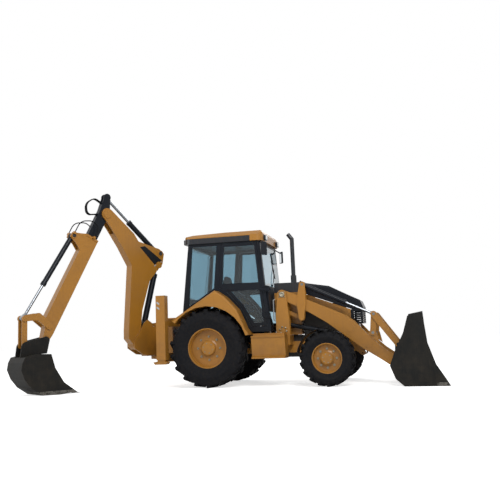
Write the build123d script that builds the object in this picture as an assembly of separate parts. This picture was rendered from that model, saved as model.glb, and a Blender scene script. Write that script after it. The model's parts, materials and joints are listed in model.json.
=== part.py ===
from build123d import *
from math import acos, atan2, cos, degrees, hypot, radians, sin, tan
import os

os.makedirs("parts", exist_ok=True)

# Backhoe loader, in millimetres. While it is modelled, X runs forward from the rear
# axle, Y to the left and Z up from the ground. Side outlines are lists of (x, z).
# The backhoe is modelled straight, as (reach from the swing pin, z), then swung out.

# ---- wheels and axles
WHEELBASE = 2100
REAR_TYRE_R, REAR_TYRE_W, REAR_RIM_R, REAR_WHEEL_Y = 690, 450, 350, 857
FRONT_TYRE_R, FRONT_TYRE_W, FRONT_RIM_R, FRONT_WHEEL_Y = 470, 310, 253, 977
KINGPIN_Y = 810
FIT = 0.05            # radial clearance of a pin in its eye
SEAT = 0.3            # gap at which one piece rests on another
GAP = 5               # side clearance between moving plates
SLIDE = 0.5           # clearance of a sliding box in its housing

# ---- loader linkage, pivot points as (x, z)
ARM_PIVOT = (1303, 1594)
CRANK_PIVOT = (1645, 1440)
CRANK_LOW = (-5, -275)        # crank's guide-link pin, from its pivot
CRANK_HIGH = (30, 318)        # crank's tilt-cylinder pin, from its pivot
LEVER_PIVOT = (2855, 869)
BUCKET_PIVOT = (3230, 345)
LIFT_BASE, LIFT_EYE = (1240, 1085), (2400, 850)
CROSS_TUBE, ARM_BEND = (2760, 700), (2480, 960)
ARM_Y, ARM_T = 545, 80        # inner face and thickness of a loader arm
PLATE_T = 25                  # crank and link plates
PLATE_GAP = 6
LIFT_CYL_Y = 430
BUCKET_HALF_W = 1203

# ---- backhoe, points as (reach, z)
SWING_X = -1340
SWING_REST = 55               # degrees to the right of straight back
BOOM_FOOT = (500, 790)
BOOM_RAM_BASE = (285, 1185)
BOOM_RAM_EYE = (-20, 2330)
STICK_PIVOT = (1130, 3260)
STICK_RAM_BASE = (-60, 2560)
STICK_RAM_EYE = (1110, 3590)
HOE_PIVOT = (2372, 925)
BOOM_HALF_W, STICK_HALF_W, HOE_BUCKET_HALF_W = 95, 80, 300

# ---- frames and cab
RAIL_IN, RAIL_OUT, RAIL_LOW, RAIL_HIGH = 240, 320, 560, 760
RAIL_REAR, RAIL_FRONT = -620, 2600
CAB_MOUNTS, CAB_FLOOR = (-345, 900), 950
TIE_X, TIE_Z, TIE_R, TIE_EYE_R, TIE_T = 2650, 530, 22, 48, 25     # tie-down eyes under the rails
HOOD_HALF_W, HOOD_T = 380, 12
CAB_HALF_W, CAB_WALL = 745, 55
ROOF_UNDER = 2590
TUB_HALF_W = 610
FENDER_OUT = 1075
LEG_X, LEG_SIDE, LEG_Y, LEG_WALL = -815, 170, 1093, 12
HINGE_X, HINGE_Y, HINGE_Z, HINGE_PIN_R = 1095, CAB_HALF_W + 23, (1230, 1700), 9
HOOD_HINGE = (1598, 1836)


def add(a, b):
    """Sum of two (x, z) points."""
    return (a[0] + b[0], a[1] + b[1])


def polar(centre, radius, angle):
    """The point at radius and angle (degrees) from centre."""
    return (centre[0] + radius * cos(radians(angle)), centre[1] + radius * sin(radians(angle)))


def inset(points, distance):
    """The polygon with every side moved inwards by distance."""
    turns = sum(a[0] * b[1] - b[0] * a[1] for a, b in zip(points, points[1:] + points[:1]))
    sign = distance if turns > 0 else -distance
    result = []
    for before, here, after in zip(points[-1:] + points[:-1], points, points[1:] + points[:1]):
        a = (here[0] - before[0], here[1] - before[1])
        b = (after[0] - here[0], after[1] - here[1])
        normal_a = (-a[1] * sign / hypot(*a), a[0] * sign / hypot(*a))
        normal_b = (-b[1] * sign / hypot(*b), b[0] * sign / hypot(*b))
        shift = (
            here[0] + normal_b[0] - before[0] - normal_a[0],
            here[1] + normal_b[1] - before[1] - normal_a[1],
        )
        step = (shift[0] * b[1] - shift[1] * b[0]) / (a[0] * b[1] - a[1] * b[0])
        result.append((before[0] + normal_a[0] + step * a[0], before[1] + normal_a[1] + step * a[1]))
    return result


def profile(sketch, y_low, y_high):
    """A sketch drawn as (x, z), extruded from y_low to y_high."""
    return extrude(Plane.XZ.offset(-y_high) * sketch, amount=y_high - y_low, dir=(0, -1, 0))


def plate(points, y_low, y_high):
    return profile(Polygon(*points, align=None), y_low, y_high)


def disc(centre, radius, y_low, y_high):
    """A round bar along Y."""
    return profile(Pos(*centre) * Circle(radius), y_low, y_high)


def bar_sketch(a, b, radius_a, radius_b):
    """A flat bar with round ends at a and b, as a sketch."""
    along = atan2(b[1] - a[1], b[0] - a[0])
    side = acos((radius_a - radius_b) / hypot(b[0] - a[0], b[1] - a[1]))
    corners = [
        (end[0] + r * cos(along + s * side), end[1] + r * sin(along + s * side))
        for end, r, s in ((a, radius_a, -1), (b, radius_b, -1), (b, radius_b, 1), (a, radius_a, 1))
    ]
    ends = Pos(*a) * Circle(radius_a) + Pos(*b) * Circle(radius_b)
    return Polygon(*corners, align=None) + ends


def bar(a, b, radius_a, radius_b, y_low, y_high):
    return profile(bar_sketch(a, b, radius_a, radius_b), y_low, y_high)


def block(x_low, x_high, y_low, y_high, z_low, z_high):
    size = Box(x_high - x_low, y_high - y_low, z_high - z_low)
    return Pos((x_low + x_high) / 2, (y_low + y_high) / 2, (z_low + z_high) / 2) * size


def rod(a, b, radius):
    """A round rod between two points in space."""
    line = Vector(*b) - Vector(*a)
    return extrude(Plane(origin=a, z_dir=line) * Circle(radius), amount=line.length)


def both(shape):
    """The shape and its mirror image on the other side of the machine."""
    return shape + mirror(shape, about=Plane.XZ)


def aim(base, tip, y):
    """Location at base, its X axis towards tip, in the plane at y."""
    angle = degrees(atan2(tip[1] - base[1], tip[0] - base[0]))
    return Pos(base[0], y, base[1]) * Rot(0, -angle, 0)


def along_x(radius, x_low, x_high):
    return Pos(x_low, 0, 0) * extrude(Plane.YZ * Circle(radius), amount=x_high - x_low)


def ram_barrel(base, tip, y, length, radius, rod_r, eye_r, eye_w, pin_r):
    """Cylinder barrel from its base eye, bored for the rod, with a gland at its mouth."""
    tube = along_x(radius, eye_r * 0.8, length) + along_x(radius + 5, length - 60, length)
    tube += disc((0, 0), eye_r, -eye_w / 2, eye_w / 2)
    tube -= along_x(rod_r + FIT, eye_r + 20, length)
    tube -= disc((0, 0), pin_r + FIT, -eye_w, eye_w)
    return aim(base, tip, y) * tube


def ram_rod(base, tip, y, start, rod_r, eye_r, eye_w):
    """Rod from inside the barrel to its eye, whose pin lies flush in it."""
    reach = hypot(tip[0] - base[0], tip[1] - base[1])
    rod = along_x(rod_r, start, reach - eye_r - 12)
    rod += bar((reach - eye_r - 30, 0), (reach, 0), rod_r - 1, eye_r, -eye_w / 2, eye_w / 2)
    return aim(base, tip, y) * rod


parts = {}

# ---- wheels: (name, x, y, tyre radius, tyre width, rim radius, hub radius)
REAR_SIZES = (REAR_TYRE_R, REAR_TYRE_W, REAR_RIM_R, 130)
FRONT_SIZES = (FRONT_TYRE_R, FRONT_TYRE_W, FRONT_RIM_R, 108)
WHEELS = [
    ("rear_right", 0, -REAR_WHEEL_Y, *REAR_SIZES),
    ("rear_left", 0, REAR_WHEEL_Y, *REAR_SIZES),
    ("front_right", WHEELBASE, -FRONT_WHEEL_Y, *FRONT_SIZES),
    ("front_left", WHEELBASE, FRONT_WHEEL_Y, *FRONT_SIZES),
]
RIM_T, RIM_LIP, SPINDLE_R = 14, 22, 45
TYRE_SIDES, LUG_H, LUG_SLANT = 36, 32, 32      # flats round a tyre, a lug on each; lug height and slant
DISH, HUB_SEAT = 0.12, 16      # dish set out by this share of the tyre width, hub seat beyond it


def ring(radius, z):
    """A many-sided section of a tyre at height z, its flats at radius."""
    return Pos(0, 0, z) * RegularPolygon(radius, TYRE_SIDES, major_radius=False)


def tyre(radius, width, rim_r):
    """Tyre about Z, its outer side up: carcass, recessed sidewalls and slanting lugs in two rows."""
    lug_len, lug_t = width * 0.53, width * 0.13
    spread = lug_len / 2 * sin(radians(LUG_SLANT)) + lug_t / 2
    top = (radius**2 - spread**2) ** 0.5
    wall = rim_r + (radius - rim_r) * 0.5
    bands = [(0.5, wall), (0.45, radius - 1.9 * LUG_H), (0.3, radius - LUG_H)]
    sections = [ring(r, -share * width) for share, r in bands]
    sections += [ring(r, share * width) for share, r in bands[::-1]]
    solid = loft(sections, ruled=True)
    for side in (-1, 1):
        recess = [ring(wall - 14, side * width / 2), ring(rim_r + 12, side * (width / 2 - 34))]
        solid -= loft(recess if side < 0 else recess[::-1], ruled=True)
    solid -= extrude(ring(rim_r + SEAT, -width), amount=2 * width)
    lug = Pos(top - 1.4 * LUG_H, 0, 0) * Box(2.8 * LUG_H, lug_t, lug_len)
    lugs = []
    for i in range(TYRE_SIDES):
        side = 1 if i % 2 else -1
        turn = Rot(0, 0, (i + 0.5) * 360 / TYRE_SIDES)
        lugs.append(turn * Pos(0, 0, side * width * 0.235) * Rot(side * LUG_SLANT, 0, 0) * lug)
    return solid + lugs


def rim(width, rim_r, hub_r):
    """Dished rim about Z with its hub, its outer side up, lip rings at both edges."""
    half, dish = width / 2 - 12, width * DISH
    inner = rim_r - RIM_T
    section = [
        (rim_r, -half + RIM_LIP), (rim_r, half - RIM_LIP), (inner, half - RIM_LIP),
        (inner, half - 3 * RIM_LIP),
        (inner - 14, half - 4 * RIM_LIP), (inner - 18, dish), (hub_r + 24, dish), (hub_r, dish + 12),
        (hub_r, dish + 62), (hub_r - 16, dish + 78), (0, dish + 78), (0, dish + HUB_SEAT),
        (hub_r - 20, dish + HUB_SEAT), (hub_r, dish - RIM_T), (inner - 18, dish - RIM_T),
        (inner, -half + RIM_LIP),
    ]
    return revolve(Plane.XZ * Polygon(*section, align=None), Axis.Z)


for size in (WHEELS[:2], WHEELS[2:]):
    tyre_shape, rim_shape = tyre(*size[0][3:6]), rim(*size[0][4:])
    for name, x, y, radius, *_ in size:
        place = Pos(x, y, radius) * Rot(90 if y < 0 else -90, 0, 0)
        parts["tyre_" + name] = place * tyre_shape
        parts["rim_" + name] = place * rim_shape

# ---- axles, frame and power train
AXLE_TUBE_R = 110
rear_axle = Pos(0, 0, REAR_TYRE_R) * Rot(90, 0, 0) * Cylinder(AXLE_TUBE_R, 2 * 800)
rear_spindle_end = REAR_WHEEL_Y + DISH * REAR_TYRE_W + HUB_SEAT - SEAT
rear_axle += Pos(0, 0, REAR_TYRE_R) * Rot(90, 0, 0) * Cylinder(SPINDLE_R, 2 * rear_spindle_end)
rear_axle += Pos(0, 0, REAR_TYRE_R) * Rot(0, 90, 0) * Cylinder(190, 300)
for y in (380, 700):
    rear_axle += both(Pos(0, y, REAR_TYRE_R) * Rot(90, 0, 0) * Cylinder(AXLE_TUBE_R + 45, 60))
rear_axle += Pos(190, 0, REAR_TYRE_R) * Rot(0, 90, 0) * Cylinder(90, 180)
parts["rear_axle"] = rear_axle

FRONT_Z = FRONT_TYRE_R
AXLE_HALF = 65
upper = [(KINGPIN_Y, 50), (200, 70), (-200, 70), (-KINGPIN_Y, 50)]
lower = [(-KINGPIN_Y, -50), (-200, -85), (200, -85), (KINGPIN_Y, -50)]
beam = extrude(Plane.YZ * Polygon(*lower, *upper, align=None), amount=2 * AXLE_HALF)
front_axle = Pos(WHEELBASE - AXLE_HALF, 0, FRONT_Z) * beam
front_axle += both(Pos(WHEELBASE, KINGPIN_Y, FRONT_Z) * Cylinder(60, 150))
front_axle += Pos(WHEELBASE, 0, FRONT_Z) * Rot(0, 90, 0) * Cylinder(130, 250)
steer_x = WHEELBASE - AXLE_HALF - 34
front_axle += rod((steer_x, -230, FRONT_Z), (steer_x, 230, FRONT_Z), 38)
front_axle += rod((steer_x, -540, FRONT_Z), (steer_x, 540, FRONT_Z), 16)
front_axle -= both(Pos(WHEELBASE, KINGPIN_Y, FRONT_Z) * Cylinder(25 + FIT, 200))
parts["front_axle"] = front_axle

knuckle = Pos(WHEELBASE, KINGPIN_Y, FRONT_Z) * Cylinder(25, 220)
for level in (-1, 1):
    knuckle += Pos(WHEELBASE, KINGPIN_Y + 35, FRONT_Z + level * 95) * Box(110, 170, 28)
knuckle += Pos(WHEELBASE, KINGPIN_Y + 100, FRONT_Z) * Box(110, 40, 218)
spindle_end = FRONT_WHEEL_Y + DISH * FRONT_TYRE_W + HUB_SEAT - SEAT
knuckle += rod((WHEELBASE, KINGPIN_Y + 100, FRONT_Z), (WHEELBASE, spindle_end, FRONT_Z), SPINDLE_R)
FENDER_R, FENDER_T, STAY_Y = FRONT_TYRE_R + 35, 6, (788, 806)
arc = [polar((WHEELBASE, FRONT_Z), FENDER_R, a) for a in range(88, 169, 8)]
arc += [polar((WHEELBASE, FRONT_Z), FENDER_R + FENDER_T, a) for a in range(168, 87, -8)]
front_fender = plate(arc, FRONT_WHEEL_Y - 162, FRONT_WHEEL_Y + 152)
stay = bar((WHEELBASE, FRONT_Z + 119), polar((WHEELBASE, FRONT_Z), FENDER_R + 2, 110), 14, 14, *STAY_Y)
stay += block(WHEELBASE - 40, WHEELBASE + 40, KINGPIN_Y - 30, STAY_Y[1], FRONT_Z + 100, FRONT_Z + 130)
knuckle += front_fender + stay + plate(arc, STAY_Y[0], FRONT_WHEEL_Y - 150)
parts["knuckle_left"] = knuckle
parts["knuckle_right"] = mirror(knuckle, about=Plane.XZ)

frame = block(RAIL_REAR, RAIL_FRONT, RAIL_IN, RAIL_OUT, RAIL_LOW, RAIL_HIGH)
frame -= Pos(0, 0, REAR_TYRE_R) * Rot(90, 0, 0) * Cylinder(AXLE_TUBE_R + SEAT, 900)
frame += block(1180, 1420, RAIL_IN, ARM_Y + ARM_T + PLATE_GAP + PLATE_T - 1, 700, 880)
TOWER = [(1180, 700), (1420, 700), (1420, 1150), (1385, 1570), (1222, 1570), (1180, 1200)]
for inner in (ARM_Y - PLATE_GAP - PLATE_T, ARM_Y + ARM_T + PLATE_GAP):
    frame += plate(TOWER, inner, inner + PLATE_T)
    frame += disc(ARM_PIVOT, 84, inner, inner + PLATE_T)
frame += disc(ARM_PIVOT, 40, ARM_Y - PLATE_GAP - PLATE_T, ARM_Y + ARM_T + PLATE_GAP + PLATE_T)
GUIDE_BASE = add(ARM_PIVOT, CRANK_LOW)
GUIDE_Y, GUIDE_T = 479, 28
frame += disc(GUIDE_BASE, 22, GUIDE_Y - 4, ARM_Y - PLATE_GAP)
frame += disc(LIFT_BASE, 28, 352, ARM_Y - PLATE_GAP)
frame += plate([(1180, 860), (1320, 860), (1290, 1150), (1190, 1150)], 352, 377)
for x in CAB_MOUNTS:
    frame += block(x, x + 90, RAIL_IN, RAIL_OUT, RAIL_HIGH, CAB_FLOOR - SEAT)
TOWER_OUT = ARM_Y + ARM_T + PLATE_GAP + PLATE_T
rail = [
    (1190, TOWER_OUT - 12, 1120), (1145, TOWER_OUT - 12, 1150), (1145, TOWER_OUT - 12, 1500),
    (1235, TOWER_OUT - 12, 1540),
]
for a, b in zip(rail, rail[1:]):
    frame += rod(a, b, 10)
frame = both(frame)
frame += block(WHEELBASE - 110, WHEELBASE + 110, -RAIL_IN, RAIL_IN, FRONT_Z + 130 + SEAT, RAIL_HIGH)
frame += block(2480, RAIL_FRONT, -RAIL_IN, RAIL_IN, RAIL_LOW, 1040)
frame += block(RAIL_REAR, RAIL_REAR + 60, -RAIL_IN, RAIL_IN, RAIL_LOW, RAIL_HIGH)
eye = bar((RAIL_FRONT - 45, RAIL_LOW + 55), (TIE_X, TIE_Z), 50, TIE_EYE_R, RAIL_OUT - TIE_T, RAIL_OUT)
frame += both(eye - disc((TIE_X, TIE_Z), TIE_R, 0, 900))

engine = block(1620, 2350, -230, 230, RAIL_HIGH + SEAT, 1420)
engine += block(480, 1560, SEAT - RAIL_IN, RAIL_IN - SEAT, 540, 870)
engine += rod((1540, 0, 600), (WHEELBASE - 152, 0, FRONT_Z + 15), 34)
engine += block(900, 1500, SEAT - RAIL_IN, RAIL_IN - SEAT, 480, 560)
parts["power_train"] = engine

# ---- rear frame with the stabiliser housings, and the legs inside them
BEAM_REAR, BEAM_FRONT = -900, -760
BEAMS = ((480, 620), (1100, 1240))
rear_frame = block(
    LEG_X - LEG_SIDE / 2, LEG_X + LEG_SIDE / 2, LEG_Y - LEG_SIDE / 2, LEG_Y + LEG_SIDE / 2, 510, 1650
)
bore = LEG_SIDE - 2 * LEG_WALL
rear_frame -= block(LEG_X - bore / 2, LEG_X + bore / 2, LEG_Y - bore / 2, LEG_Y + bore / 2, 400, 1640)
for low, high in BEAMS:
    rear_frame += block(BEAM_REAR, BEAM_FRONT, 0, LEG_Y - LEG_SIDE / 2, low, high)
rear_frame += block(BEAM_FRONT, RAIL_REAR, RAIL_IN, RAIL_OUT, 480, 1240)
parts["chassis_frame"] = frame + both(rear_frame)

leg_side = bore - 2 * SLIDE
leg = block(LEG_X - leg_side / 2, LEG_X + leg_side / 2, LEG_Y - leg_side / 2, LEG_Y + leg_side / 2, 470, 1560)
foot = [(-145, 462), (-120, 430), (85, 430), (110, 462), (110, 475), (-145, 475)]
leg += plate([(LEG_X + x, z) for x, z in foot], LEG_Y - 83, LEG_Y + 83)
for y in (LEG_Y - 50, LEG_Y + 38):
    leg += plate([(LEG_X - 130, 474), (LEG_X + 95, 474), (LEG_X + 60, 492), (LEG_X - 60, 492)], y, y + 12)
parts["stabiliser_left"] = leg
parts["stabiliser_right"] = mirror(leg, about=Plane.XZ)

# ---- cab, fenders, side boxes, hood
FENDER_TOP = [(-650, 1198), (165, 1701), (339, 1584), (553, 1350), (700, 1010), (770, 905)]
fender_low = [
    polar((0, REAR_TYRE_R), REAR_TYRE_R + 50, a)
    for a in (16, 30, 45, 60, 75, 90, 105, 120, 133, 142)
]
fender = plate(FENDER_TOP + fender_low, TUB_HALF_W + SEAT, FENDER_OUT)
top_middles = [((a[0] + b[0]) / 2, (a[1] + b[1]) / 2) for a, b in zip(FENDER_TOP[:4], FENDER_TOP[1:])]
outer_edges = [e for e in fender.edges() if e.center().Y > FENDER_OUT - 1]
top_edges = [
    e for e in outer_edges if min(hypot(e.center().X - x, e.center().Z - z) for x, z in top_middles) < 2
]
parts["rear_fenders"] = both(chamfer(top_edges, 28))

BOX_X, BOX_Z = (785, 1380), (487, 879)
BOX_OUT = 1000
# the box seen from ahead, as (y, z): two lips, a face that leans in to a bend, and a skirt
box_face = [
    (TOWER_OUT, BOX_Z[0]), (BOX_OUT, BOX_Z[0]), (BOX_OUT, BOX_Z[0] + 22),
    (BOX_OUT - 60, BOX_Z[0] + 48),
]
box_face += [(BOX_OUT - 48, BOX_Z[0] + 140), (BOX_OUT - 22, BOX_Z[1] - 60), (BOX_OUT - 22, BOX_Z[1] - 24)]
box_face += [(BOX_OUT, BOX_Z[1] - 24), (BOX_OUT, BOX_Z[1]), (TOWER_OUT, BOX_Z[1])]
box_section = Plane.YZ * Polygon(*box_face, align=None)
side_box = Pos(BOX_X[0], 0, 0) * extrude(box_section, amount=BOX_X[1] - BOX_X[0])
side_box += block(BOX_X[0] + 20, BOX_X[1] - 20, TOWER_OUT, BOX_OUT - 110, BOX_Z[1], BOX_Z[1] + 40)
parts["side_boxes"] = both(side_box)

side = [(-395, ROOF_UNDER), (960, ROOF_UNDER), (1020, 1767), (1105, 1046), (1105, 950), (750, 950)]
side += [(700, 1010), (553, 1350), (339, 1584), (165, 1701), (-540, 1266)]
DOOR = [
    (235, 2560), (905, 2560), (960, 1767), (1040, 1046), (745, 1046), (560, 1400), (350, 1640),
    (165, 1765),
]
REAR_SIDE_WINDOW = [(-330, 2540), (150, 2540), (75, 1760), (-420, 1440)]
inner_y = CAB_HALF_W - CAB_WALL
wall = plate(side, inner_y, CAB_HALF_W)
wall -= plate(DOOR, inner_y, CAB_HALF_W)
wall -= plate(REAR_SIDE_WINDOW, inner_y, CAB_HALF_W)
cab = both(wall)
cab += block(-350, 1105, -TUB_HALF_W, TUB_HALF_W, CAB_FLOOR, 990)
cab += both(block(780, 1105, TUB_HALF_W, inner_y, 950, 990))
cab += block(1070, 1105, -inner_y, inner_y, 990, 1046)
cab += plate([(1055, 1300), (1020, 1767), (1060, 1767), (1095, 1300)], -inner_y, inner_y)
cab += block(890, 955, -inner_y, inner_y, 2530, ROOF_UNDER)
cab += block(-395, -330, -inner_y, inner_y, 2530, ROOF_UNDER)
cab += plate([(-515, 1320), (-550, 1320), (-500, 1600), (-465, 1600)], -inner_y, inner_y)
cab += block(-540, -350, -TUB_HALF_W, TUB_HALF_W, 1266, 1320)
cab += block(-385, -350, -TUB_HALF_W, TUB_HALF_W, 950, 1266)
for z in HINGE_Z:
    post_edge = 1020 - (z - 1767) * 0.118
    for level in (-1, 1):
        leaf_z = z + level * 36
        cab += both(block(post_edge - 45, HINGE_X + 12, CAB_HALF_W - 5, HINGE_Y + 12, leaf_z - 8, leaf_z + 8))
    cab += both(Pos(HINGE_X, HINGE_Y, z) * Cylinder(HINGE_PIN_R, 80))
for sign in (-1, 1):
    mirror_at = (1055, sign * (CAB_HALF_W + 100))
    cab += rod((945, sign * (CAB_HALF_W - 15), 2572), (*mirror_at, 2500), 11)
    cab += Pos(*mirror_at, 2420) * Rot(0, 0, -sign * 60) * Box(128, 34, 230)
parts["cab_frame"] = cab

ROOF_REAR, ROOF_NOSE, ROOF_HALF_W = -470, 1015, CAB_HALF_W + 45
roof = [(ROOF_REAR, ROOF_UNDER), (ROOF_REAR, 2700), (-430, 2735), (-300, 2760), (900, 2800), (980, 2780)]
roof = plate(roof + [(ROOF_NOSE, 2720), (ROOF_NOSE, ROOF_UNDER)], -ROOF_HALF_W, ROOF_HALF_W)
plan = RectangleRounded(ROOF_NOSE - ROOF_REAR, 2 * ROOF_HALF_W, 120)
roof &= Pos((ROOF_NOSE + ROOF_REAR) / 2, 0, ROOF_UNDER) * extrude(plan, amount=300)
# seen from the front the roof is crowned: full height in the middle, falling to its edges
crown = [(-ROOF_HALF_W, ROOF_UNDER), (ROOF_HALF_W, ROOF_UNDER), (ROOF_HALF_W, 2705), (ROOF_HALF_W - 90, 2780)]
crown += [(0, 2801), (90 - ROOF_HALF_W, 2780), (-ROOF_HALF_W, 2705)]
roof &= Pos(ROOF_REAR, 0, 0) * extrude(Plane.YZ * Polygon(*crown, align=None), amount=ROOF_NOSE - ROOF_REAR)

glass_t = 8
glass = both(plate(inset(REAR_SIDE_WINDOW, SEAT), CAB_HALF_W - 30, CAB_HALF_W - 30 + glass_t))
glass += plate([(958, 2525), (1018, 1772), (1026, 1772), (966, 2525)], -inner_y + SEAT, inner_y - SEAT)
glass += plate([(-395, 2525), (-490, 1605), (-482, 1605), (-387, 2525)], -inner_y + SEAT, inner_y - SEAT)
parts["cab_glass"] = glass

UPPER_PANE = [(285, 2510), (855, 2510), (905, 1830), (240, 1830)]
LOWER_PANE = [(400, 1690), (915, 1700), (975, 1110), (800, 1110), (620, 1430)]
for name, sign in (("left", 1), ("right", -1)):
    door = plate(inset(DOOR, GAP), CAB_HALF_W - 45, CAB_HALF_W)
    door -= plate(UPPER_PANE, 0, 900) + plate(LOWER_PANE, 0, 900)
    panes = plate(inset(UPPER_PANE, SEAT), CAB_HALF_W - 26, CAB_HALF_W - 18)
    panes += plate(inset(LOWER_PANE, SEAT), CAB_HALF_W - 26, CAB_HALF_W - 18)
    for z in HINGE_Z:
        edge = 1020 - (z - 1767) * 0.118 - 130
        door += block(edge, edge + 50, CAB_HALF_W - 5, HINGE_Y + 8, z - 20, z + 20)
        door += block(edge, HINGE_X, CAB_HALF_W + GAP, HINGE_Y + 8, z - 20, z + 20)
        door += Pos(HINGE_X, HINGE_Y, z) * Cylinder(18, 50)
        door -= Pos(HINGE_X, HINGE_Y, z) * Cylinder(HINGE_PIN_R + FIT, 80)
    parts["door_" + name] = door if sign > 0 else mirror(door, about=Plane.XZ)
    parts["door_glass_" + name] = panes if sign > 0 else mirror(panes, about=Plane.XZ)

seat = chamfer(block(150, 620, -240, 240, 1350, 1470).edges(), 26)
seat += chamfer(plate([(160, 1400), (250, 1400), (190, 2050), (80, 2050)], -230, 230).edges(), 26)
seat += block(250, 520, -150, 150, 990, 1352)
for y in (-300, 240):
    seat += block(180, 520, y, y + 60, 1610, 1650) + block(200, 240, y, y + 60, 1440, 1610)
parts["seat"] = seat
wheel = extrude(Circle(200) - Circle(172), amount=26) + Box(370, 34, 20) + Box(34, 370, 20)
controls = bar((960, 1035), (790, 1740), 45, 30, -50, 50) + Pos(790, 0, 1745) * Rot(0, -25, 0) * wheel
console = block(-250, 60, -330, -90, 989.9, 1380)
for x, y in ((-40, -260), (-40, -160), (-180, -210)):
    console += rod((x, y, 1370), (x + 40, y, 1620), 9) + rod((x + 38, y, 1600), (x + 48, y, 1680), 20)
parts["controls"] = controls + Pos(0, 0, 0.1) * console + Pos(0, 420, 0.1) * console

HOOD_TOP = [(1600, 1815), (2118, 1725), (2430, 1560), (2650, 1450), (2700, 1330)]
BAND_LOW = [(2690, 1298), (2487, 1298), (1600, 1634)]
hood = plate(HOOD_TOP + BAND_LOW, -HOOD_HALF_W, HOOD_HALF_W)
long_edges = [e for e in hood.edges() if e.center().Z > 1700 and e.length > 400]
hood = chamfer([e for e in long_edges if abs(e.center().Y) > 100], 34)
hollow = [
    (1500, 1831 - 3 * HOOD_T), (2112, 1725 - 3 * HOOD_T), (2420, 1563 - 3 * HOOD_T),
    (2625, 1460 - 3 * HOOD_T), (2680, 1310),
]
hood -= plate(hollow + [(2680, 1000), (1500, 1000)], HOOD_T - HOOD_HALF_W, HOOD_HALF_W - HOOD_T)
hood_eye = disc(HOOD_HINGE, 15, 262, 298)
hood_eye += plate([(1600, 1800), (1640, 1806), (1640, 1816), (1598, 1850)], 262, 298)
hood += both(hood_eye)
hood -= both(disc(HOOD_HINGE, 8 + FIT, 200, 310))
parts["hood"] = hood

# the cowl, narrower between the loader towers, and the yellow side panels under the hood
panels = block(1120, 1590, -HOOD_HALF_W, HOOD_HALF_W, 1160, 1820)
panels += block(1120, 1590, -345, 345, 880 + SEAT, 1160)
flank = [(1589, 1300), (1589, 1628), (1600, 1628), (2478, 1292), (2478, 1130)]
flank_rail = [(1589, 1400), (2440, 1180), (2440, 1140), (1589, 1310)]
panels += both(plate(flank, HOOD_HALF_W - HOOD_T, HOOD_HALF_W) + plate(flank_rail, 350, 369))
hood_pin = plate([(1560, 1818), (1590, 1818), (1606, 1836), (1598, 1846), (1560, 1830)], 235, 256)
panels += both(disc(HOOD_HINGE, 8, 240, 302) + hood_pin)

GRILLE_X, GRILLE_Z, LOUVRE = (2484, 2690), (1040 + SEAT, 1290), 34
grille = block(*GRILLE_X, -HOOD_HALF_W, HOOD_HALF_W, *GRILLE_Z)
grille_in = HOOD_HALF_W - 14
grille -= block(GRILLE_X[0] - 1, GRILLE_X[1] - 14, -grille_in, grille_in, GRILLE_Z[0] + 14, GRILLE_Z[1] + 1)
for i in range(6):
    z = GRILLE_Z[0] + 28 + i * LOUVRE
    grille -= block(GRILLE_X[1] - 40, GRILLE_X[1] + 1, 40 - HOOD_HALF_W, -20, z, z + 18)
    grille -= block(GRILLE_X[1] - 40, GRILLE_X[1] + 1, 20, HOOD_HALF_W - 40, z, z + 18)
    grille -= block(GRILLE_X[0] + 40, GRILLE_X[1] - 40, -HOOD_HALF_W - 1, HOOD_HALF_W + 1, z, z + 18)
parts["grille"] = grille

STACK_X, STACK_Y = 1480, -320
exhaust = rod((STACK_X, STACK_Y, 1820), (STACK_X, STACK_Y, 2640), 38)
exhaust += rod((STACK_X, STACK_Y, 1820), (STACK_X, STACK_Y, 1950), 52)
exhaust += rod((STACK_X, STACK_Y, 2625), (STACK_X - 70, STACK_Y, 2720), 38)
parts["body_panels"] = panels + exhaust

lamp = extrude(Plane.YZ * RectangleRounded(170, 96, 22), amount=40)
lamps = both(Pos(ROOF_NOSE, 560, 2652) * lamp) + both(Pos(ROOF_REAR - 40, 560, 2652) * lamp)
parts["cab_roof"] = roof + lamps

# ---- loader
crank_low, crank_high = add(CRANK_PIVOT, CRANK_LOW), add(CRANK_PIVOT, CRANK_HIGH)
lever_high = add(LEVER_PIVOT, CRANK_HIGH)
bucket_high = add(BUCKET_PIVOT, CRANK_HIGH)
ARM_OUT = ARM_Y + ARM_T
PLATES = (
    (ARM_Y - PLATE_GAP - PLATE_T, ARM_Y - PLATE_GAP),
    (ARM_OUT + PLATE_GAP, ARM_OUT + PLATE_GAP + PLATE_T),
)
EAR_T = 34
MID_Y = ARM_Y + ARM_T / 2

arm_outline = [
    (1330, 1674), (1540, 1590), (1740, 1490), (2264, 1256), (2420, 1182), (2560, 1080), (2790, 818),
    (3020, 605), (3292, 408), (3182, 268), (2970, 415), (2667, 615), (2515, 731), (2223, 958), (2090, 1063),
    (1728, 1290), (1560, 1380), (1268, 1516),
]
arm = plate(arm_outline, ARM_Y, ARM_OUT) + disc(ARM_PIVOT, 84, ARM_Y, ARM_OUT)
arm += disc(BUCKET_PIVOT, 88, ARM_Y, ARM_OUT)
arm_gusset = [(2770, 830), (2960, 680), (2915, 880), (2855, 929), (2800, 900)]
arm += plate(arm_gusset, MID_Y - EAR_T / 2, MID_Y + EAR_T / 2)
arm -= disc(ARM_PIVOT, 40 + FIT, 0, 900)
arm -= disc(LEVER_PIVOT, 25 + FIT, 0, 900)
arm -= disc(BUCKET_PIVOT, 30 + FIT, 0, 900)
arm -= disc(BUCKET_PIVOT, 340, MID_Y - EAR_T / 2 - GAP, MID_Y + EAR_T / 2 + GAP)
arm += disc(CRANK_PIVOT, 40, PLATES[0][0] - 4, PLATES[1][1] + 4)
arm += disc(ARM_BEND, 70, ARM_OUT - 1, ARM_OUT + 5) + disc(CROSS_TUBE, 84, ARM_OUT - 1, ARM_OUT + 5)
arm += disc(LIFT_EYE, 60, LIFT_CYL_Y + 40 + GAP, ARM_Y)
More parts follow.
